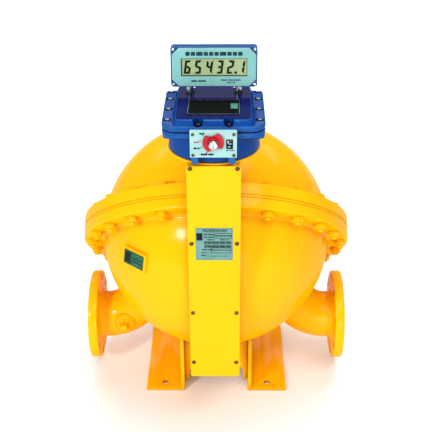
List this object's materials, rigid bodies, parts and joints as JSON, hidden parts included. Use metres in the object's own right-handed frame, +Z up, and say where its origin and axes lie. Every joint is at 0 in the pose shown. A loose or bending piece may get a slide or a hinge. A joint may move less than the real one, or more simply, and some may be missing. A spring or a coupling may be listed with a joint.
{
  "type": "liquid flow meter with electronic register",
  "caption": "Large positive-displacement flow meter: round bolted case on two feet, flanged inlet and outlet bends, front drive cover and electronic register with display.",
  "frame": {"origin": "on the floor under the middle of the meter's overall box", "axes": "+Z up, front (drive cover and display) towards -Y, inlet flange towards -X, outlet flange towards +X"},
  "size_m": [0.804, 0.7665, 1.1319],
  "materials": {
    "case_paint": "satin",
    "sheet_paint": "satin",
    "register_paint": "satin",
    "display_paint": "satin",
    "bolt_paint": "satin",
    "bright_steel": "brushed",
    "dark_steel": "satin",
    "casting": "as cast",
    "bronze": "machined",
    "rubber": "matte",
    "plate_print": "satin",
    "tag_print": "satin",
    "label_print": "gloss",
    "switch_print": "satin",
    "knob_red": "gloss",
    "lcd": "gloss",
    "board": "matte",
    "black_plastic": "matte"
  },
  "bodies": {
    "case": {"upper_cover": "case_paint", "lower_housing": "case_paint", "case_gasket": "rubber", "case_bolts": "bolt_paint", "inlet_nozzle": "case_paint", "outlet_nozzle": "case_paint", "inlet_plug": "bolt_paint", "left_foot": "sheet_paint", "right_foot": "sheet_paint", "front_saddle": "sheet_paint", "rear_saddle": "sheet_paint", "drive_housing": "sheet_paint", "drive_cover": "sheet_paint", "name_plate": "plate_print", "tag_pad": "case_paint", "serial_tag": "tag_print", "register_adapter": "case_paint", "register_body": "register_paint", "register_gasket": "rubber", "register_cover": "register_paint", "register_cover_bolts": "bright_steel", "cover_label": "label_print", "switch_plate": "switch_print", "rotary_switch": "black_plastic", "display_post_left": "bright_steel", "display_post_right": "bright_steel", "display_housing": "register_paint", "display_bezel": "display_paint", "lcd_panel": "lcd", "register_board": "board", "pulse_sensor": "black_plastic", "packing_gland": "bronze", "upper_shaft_bracket": "casting", "lower_shaft_bracket": "casting", "element_housing": "casting", "front_bearing_plate": "casting", "rear_bearing_plate": "casting", "outlet_duct": "casting", "drive_cover_screw_1": "dark_steel", "drive_cover_screw_2": "dark_steel", "drive_cover_screw_3": "dark_steel", "drive_cover_screw_4": "dark_steel", "drive_cover_screw_5": "dark_steel", "drive_cover_screw_6": "dark_steel", "drive_cover_screw_7": "dark_steel", "drive_cover_screw_8": "dark_steel"},
    "selector": {"selector_knob": "knob_red", "knob_lock": "bright_steel", "switch_shaft": "bright_steel"},
    "left_rotor": {"left_displacement_rotor": "casting", "left_rotor_gear": "bright_steel"},
    "right_rotor": {"right_displacement_rotor": "casting", "right_rotor_gear": "bright_steel"},
    "output_train": {"blocking_rotor": "casting", "blocking_rotor_gear": "bright_steel", "drive_shaft": "bright_steel", "output_mitre_gear": "bright_steel"},
    "upright_shaft": {"vertical_shaft": "bright_steel", "vertical_mitre_gear": "bright_steel", "pulser_disc": "black_plastic"}
  },
  "joints": [
    {"name": "selector_turn", "type": "hinge", "parent": "case", "child": "selector", "pos_m": [0, -0.3585, 0.957], "axis": [0, -1, 0], "range_deg": [-30, 65]},
    {"name": "left_rotor_spin", "type": "hinge", "parent": "case", "child": "left_rotor", "pos_m": [-0.112, 0.0385, 0.4135], "axis": [0, -1, 0], "continuous": true},
    {"name": "right_rotor_spin", "type": "hinge", "parent": "case", "child": "right_rotor", "pos_m": [0.112, 0.0385, 0.4135], "axis": [0, -1, 0], "continuous": true},
    {"name": "output_train_spin", "type": "hinge", "parent": "case", "child": "output_train", "pos_m": [0, 0.0385, 0.323], "axis": [0, -1, 0], "continuous": true},
    {"name": "upright_shaft_spin", "type": "hinge", "parent": "case", "child": "upright_shaft", "pos_m": [0, -0.3215, 0.473], "axis": [0, 0, 1], "continuous": true}
  ],
  "couplings": [
    {"joint": "right_rotor_spin", "follows": "left_rotor_spin", "ratio": 1},
    {"joint": "output_train_spin", "follows": "left_rotor_spin", "ratio": -2},
    {"joint": "upright_shaft_spin", "follows": "left_rotor_spin", "ratio": -2}
  ]
}
